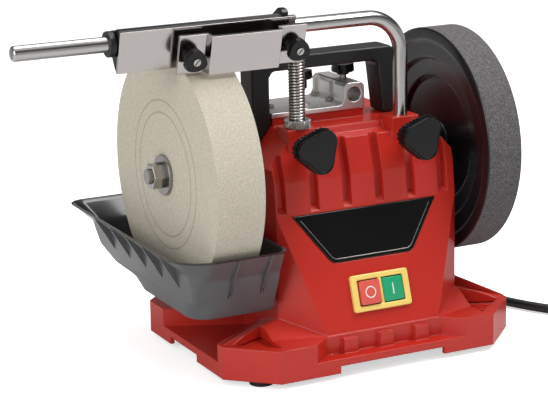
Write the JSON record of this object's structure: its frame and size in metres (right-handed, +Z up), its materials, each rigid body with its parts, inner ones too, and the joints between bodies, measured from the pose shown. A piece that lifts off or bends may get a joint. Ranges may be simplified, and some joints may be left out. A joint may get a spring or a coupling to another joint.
{
  "type": "wet grinding sharpener",
  "caption": "Bench wet grinder: water-cooled stone and leather-type honing wheel on a worm-driven shaft, with tool rest bar and straight-edge jig.",
  "frame": {"origin": "bench level, under the centre of the base (centre of the four bench bolts)", "axes": "+X along the wheel shaft from the stone side to the honing side, +Y away from the operator, +Z up"},
  "size_m": [0.619, 0.2543, 0.2922],
  "materials": {
    "red_moulding": "satin red moulding",
    "grey_plate": "plain",
    "rubber": "matte",
    "black_gloss": "gloss",
    "black_plastic": "fine grain",
    "yellow_plastic": "semi-gloss",
    "red_button": "semi-gloss",
    "green_button": "semi-gloss",
    "steel": "turned",
    "chrome": "bright plated",
    "bright_rod": "polished",
    "stone": "fine abrasive grain",
    "white_plastic": "plain",
    "honing_layer": "matte",
    "bronze": "cast",
    "lamination": "stacked sheet",
    "enamelled_wire": "varnished",
    "die_cast": "die-cast",
    "grey_plastic": "gloss",
    "cord_rubber": "satin",
    "brass_pins": "plated"
  },
  "bodies": {
    "body": {"housing": "red_moulding", "bottom_cover": "grey_plate", "rubber_feet": "rubber", "badge_plate": "black_gloss", "switch_frame": "yellow_plastic", "switch_body": "black_plastic", "bearing_left": "steel", "bearing_right": "steel", "worm_bush": "bronze", "motor_stator": "lamination", "motor_windings": "enamelled_wire", "motor_lower_shield": "die_cast", "motor_upper_shield": "die_cast", "capacitor": "white_plastic", "bracket": "die_cast", "bracket_screws": "chrome", "carry_handle": "black_plastic", "mains_lead": "cord_rubber", "lead_coil": "cord_rubber", "lead_tail": "cord_rubber", "cord_guard": "rubber", "lead_tie": "black_plastic", "plug": "black_plastic", "plug_pins": "brass_pins"},
    "wheels": {"main_shaft": "steel", "grinding_stone": "stone", "stone_bush": "white_plastic", "stone_flange": "steel", "stone_washer": "chrome", "stone_nut": "chrome", "honing_disc": "black_plastic", "honing_band": "honing_layer", "honing_nut": "chrome", "worm_wheel": "bronze"},
    "rotor": {"motor_shaft": "steel", "worm": "steel", "motor_rotor": "lamination", "cooling_fan": "black_plastic"},
    "stop": {"stop_button": "red_button"},
    "start": {"start_button": "green_button"},
    "support": {"support_rod": "bright_rod"},
    "nut": {"height_nut": "bright_rod"},
    "clamp_left": {"leg_knob_left": "black_gloss", "leg_stud_left": "steel"},
    "clamp_right": {"leg_knob_right": "black_gloss", "leg_stud_right": "steel"},
    "sleeve_clamp": {"sleeve_knob": "black_gloss", "sleeve_stud": "chrome"},
    "lock_clamp": {"lock_knob": "black_gloss", "lock_stud": "chrome"},
    "slider": {"jig_bush": "black_plastic"},
    "jig": {"jig_body": "black_gloss", "jig_base_plate": "bright_rod", "jig_studs": "chrome"},
    "jaw": {"jig_jaw": "bright_rod"},
    "jaw_knob_left": {"jig_knob_left": "black_gloss"},
    "jaw_knob_right": {"jig_knob_right": "black_gloss"},
    "tray": {"water_tray": "grey_plastic"}
  },
  "joints": [
    {"name": "wheel_spin", "type": "hinge", "parent": "body", "child": "wheels", "pos_m": [0, -0.005, 0.16], "axis": [1, 0, 0], "continuous": true},
    {"name": "motor_spin", "type": "hinge", "parent": "body", "child": "rotor", "pos_m": [0.003, 0.0268, 0.16], "axis": [0, 0, 1], "continuous": true},
    {"name": "stop_press", "type": "slide", "parent": "body", "child": "stop", "axis": [0, 0.9516, -0.3073], "range_m": [0, 0.0028], "stiffness_N_per_m": 400, "springref_m": -0.001},
    {"name": "start_press", "type": "slide", "parent": "body", "child": "start", "axis": [0, 0.9516, -0.3073], "range_m": [0, 0.0028], "stiffness_N_per_m": 400, "springref_m": -0.001},
    {"name": "support_lift", "type": "slide", "parent": "body", "child": "support", "axis": [0, 0, 1], "range_m": [0, 0.05]},
    {"name": "height_set", "type": "hinge", "parent": "support", "child": "nut", "pos_m": [-0.0475, -0.042, 0.19], "axis": [0, 0, 1], "continuous": true},
    {"name": "leg_clamp_left", "type": "hinge", "parent": "body", "child": "clamp_left", "pos_m": [-0.0475, -0.06, 0.1805], "axis": [0, -1, 0], "continuous": true},
    {"name": "leg_clamp_right", "type": "hinge", "parent": "body", "child": "clamp_right", "pos_m": [0.0475, -0.06, 0.1805], "axis": [0, -1, 0], "continuous": true},
    {"name": "sleeve_clamp_turn", "type": "hinge", "parent": "body", "child": "sleeve_clamp", "pos_m": [0.0215, 0.008, 0.22], "axis": [0, 0, 1], "continuous": true},
    {"name": "lock_clamp_turn", "type": "hinge", "parent": "body", "child": "lock_clamp", "pos_m": [-0.0225, -0.001, 0.21], "axis": [0, 0, 1], "continuous": true},
    {"name": "jig_slide", "type": "slide", "parent": "support", "child": "slider", "axis": [1, 0, 0], "range_m": [-0.065, 0]},
    {"name": "jig_tilt", "type": "hinge", "parent": "slider", "child": "jig", "pos_m": [-0.13, -0.042, 0.2759], "axis": [1, 0, 0], "range_deg": [-80, 0]},
    {"name": "jaw_clamp", "type": "slide", "parent": "jig", "child": "jaw", "axis": [0, -0.9613, -0.2756], "range_m": [-0.0035, 0]},
    {"name": "jaw_knob_left_turn", "type": "hinge", "parent": "jaw", "child": "jaw_knob_left", "pos_m": [-0.1465, -0.04007, 0.26917], "axis": [0, -0.9613, -0.2756], "continuous": true},
    {"name": "jaw_knob_right_turn", "type": "hinge", "parent": "jaw", "child": "jaw_knob_right", "pos_m": [-0.0585, -0.04007, 0.26917], "axis": [0, -0.9613, -0.2756], "continuous": true},
    {"name": "tray_lower", "type": "slide", "parent": "body", "child": "tray", "axis": [0, 0, 1], "range_m": [-0.012, 0]}
  ],
  "couplings": [
    {"joint": "motor_spin", "follows": "wheel_spin", "ratio": -12}
  ]
}
